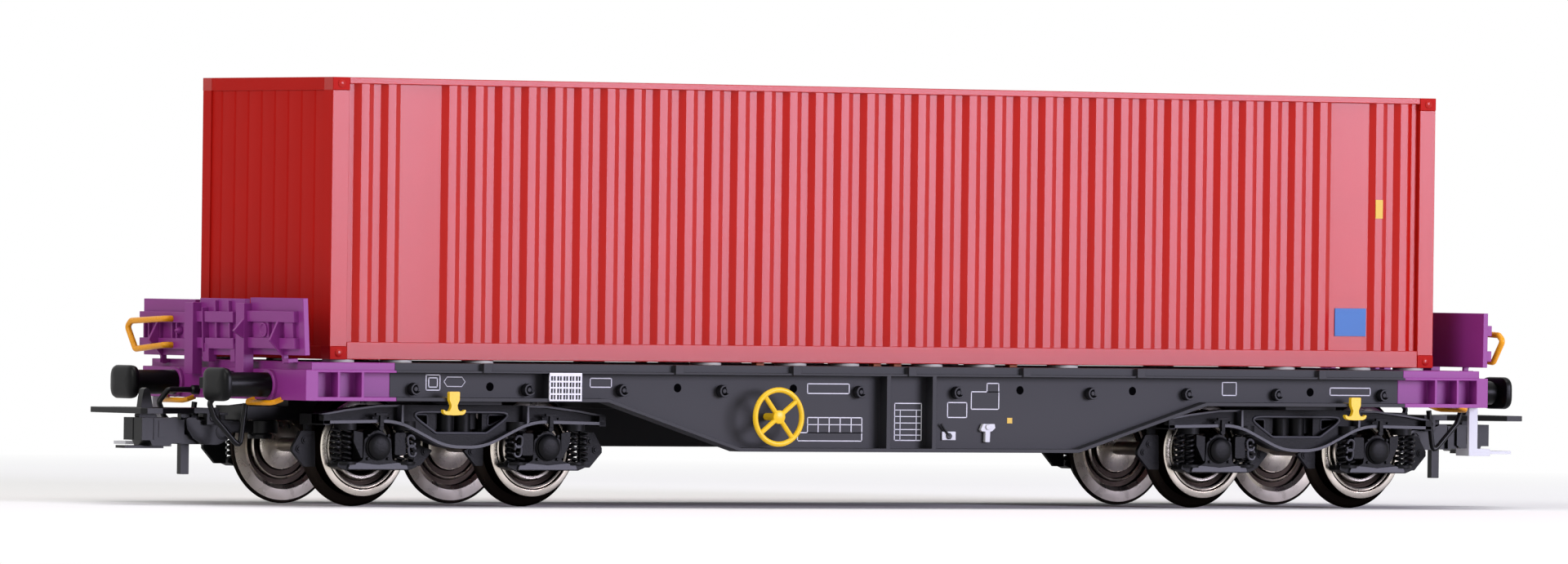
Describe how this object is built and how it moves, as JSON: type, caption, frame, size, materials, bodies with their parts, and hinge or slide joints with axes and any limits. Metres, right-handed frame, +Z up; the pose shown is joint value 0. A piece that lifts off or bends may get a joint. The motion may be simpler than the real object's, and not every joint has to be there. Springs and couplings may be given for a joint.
{
  "type": "scale model container flatcar",
  "caption": "H0 scale model of a four-axle flatcar with fishbelly sills, swivelling bogies, bow couplers, end flaps and a corrugated 40 ft container",
  "frame": {"origin": "middle of the wagon in plan, at the wheel flanges' lowest points", "axes": "+X along the wagon towards the container's door end, +Y across it, +Z up"},
  "size_m": [0.176, 0.038, 0.0454],
  "materials": {
    "anthracite_plastic": "satin painted",
    "purple_plastic": "satin painted",
    "black_plastic": "satin moulded",
    "yellow_plastic": "satin painted",
    "silver_paint": "satin",
    "nickel": "bright turned",
    "steel_axle": "turned",
    "container_red": "satin moulded",
    "white_print": "printed",
    "pad_grey": "matt",
    "orange_plastic": "satin",
    "bogie_black": "matt moulded"
  },
  "bodies": {
    "frame": {"side_sill_near": "anthracite_plastic", "side_sill_far": "anthracite_plastic", "centre_spine": "anthracite_plastic", "cross_bearers": "anthracite_plastic", "deck_ledges": "anthracite_plastic", "bolsters": "anthracite_plastic", "lashing_hooks": "anthracite_plastic", "end_frame_left": "purple_plastic", "end_frame_right": "purple_plastic", "end_flaps_left": "purple_plastic", "end_flaps_right": "purple_plastic", "buffers_left": "black_plastic", "buffers_right": "black_plastic", "draw_gear": "black_plastic", "brake_hoses": "black_plastic", "coupler_pockets": "black_plastic", "air_tank_and_cylinder": "black_plastic", "shunter_handles": "yellow_plastic", "flap_handles": "yellow_plastic", "handwheels": "yellow_plastic", "t_levers": "yellow_plastic", "corner_steps": "silver_paint", "levers_and_taps": "silver_paint", "lattice_boards": "white_print", "deck_pads": "pad_grey", "spigots": "orange_plastic"},
    "bogie_left": {"bogie_frame_left": "bogie_black", "axleboxes_left": "bogie_black", "springs_left": "bogie_black"},
    "bogie_right": {"bogie_frame_right": "bogie_black", "axleboxes_right": "bogie_black", "springs_right": "bogie_black"},
    "wheelset_1": {"wheels_1": "nickel", "axle_1": "steel_axle"},
    "wheelset_2": {"wheels_2": "nickel", "axle_2": "steel_axle"},
    "wheelset_3": {"wheels_3": "nickel", "axle_3": "steel_axle"},
    "wheelset_4": {"wheels_4": "nickel", "axle_4": "steel_axle"},
    "coupler_left": {"coupler_head_left": "black_plastic"},
    "bow_left": {"coupler_bow_left": "black_plastic"},
    "coupler_right": {"coupler_head_right": "black_plastic"},
    "bow_right": {"coupler_bow_right": "black_plastic"},
    "container": {"container_side_near": "container_red", "container_side_far": "container_red", "front_wall": "container_red", "door_leaf_near": "container_red", "door_leaf_far": "container_red", "locking_bars": "container_red", "container_roof": "container_red", "container_floor": "container_red", "corner_posts": "container_red", "corner_castings": "container_red", "end_rails": "container_red"}
  },
  "joints": [
    {"name": "bogie_left_turn", "type": "hinge", "parent": "frame", "child": "bogie_left", "pos_m": [-0.0531, 0, 0.0108], "axis": [0, 0, 1], "range_deg": [-10, 10]},
    {"name": "bogie_right_turn", "type": "hinge", "parent": "frame", "child": "bogie_right", "pos_m": [0.0531, 0, 0.0108], "axis": [0, 0, 1], "range_deg": [-10, 10]},
    {"name": "wheelset_1_spin", "type": "hinge", "parent": "bogie_left", "child": "wheelset_1", "pos_m": [-0.0635, 0, 0.00628], "axis": [0, 1, 0], "continuous": true},
    {"name": "wheelset_2_spin", "type": "hinge", "parent": "bogie_left", "child": "wheelset_2", "pos_m": [-0.0427, 0, 0.00628], "axis": [0, 1, 0], "continuous": true},
    {"name": "wheelset_3_spin", "type": "hinge", "parent": "bogie_right", "child": "wheelset_3", "pos_m": [0.0427, 0, 0.00628], "axis": [0, 1, 0], "continuous": true},
    {"name": "wheelset_4_spin", "type": "hinge", "parent": "bogie_right", "child": "wheelset_4", "pos_m": [0.0635, 0, 0.00628], "axis": [0, 1, 0], "continuous": true},
    {"name": "coupler_left_swing", "type": "hinge", "parent": "frame", "child": "coupler_left", "pos_m": [-0.0705, 0, 0.0082], "axis": [0, 0, 1], "range_deg": [-10, 10]},
    {"name": "bow_left_lift", "type": "hinge", "parent": "coupler_left", "child": "bow_left", "pos_m": [-0.0776, 0, 0.0092], "axis": [0, 1, 0], "range_deg": [0, 25]},
    {"name": "coupler_right_swing", "type": "hinge", "parent": "frame", "child": "coupler_right", "pos_m": [0.0705, 0, 0.0082], "axis": [0, 0, 1], "range_deg": [-10, 10]},
    {"name": "bow_right_lift", "type": "hinge", "parent": "coupler_right", "child": "bow_right", "pos_m": [0.0776, 0, 0.0092], "axis": [0, -1, 0], "range_deg": [0, 25]},
    {"name": "container_lift", "type": "slide", "parent": "frame", "child": "container", "axis": [0, 0, 1], "range_m": [0, 0.008]}
  ]
}
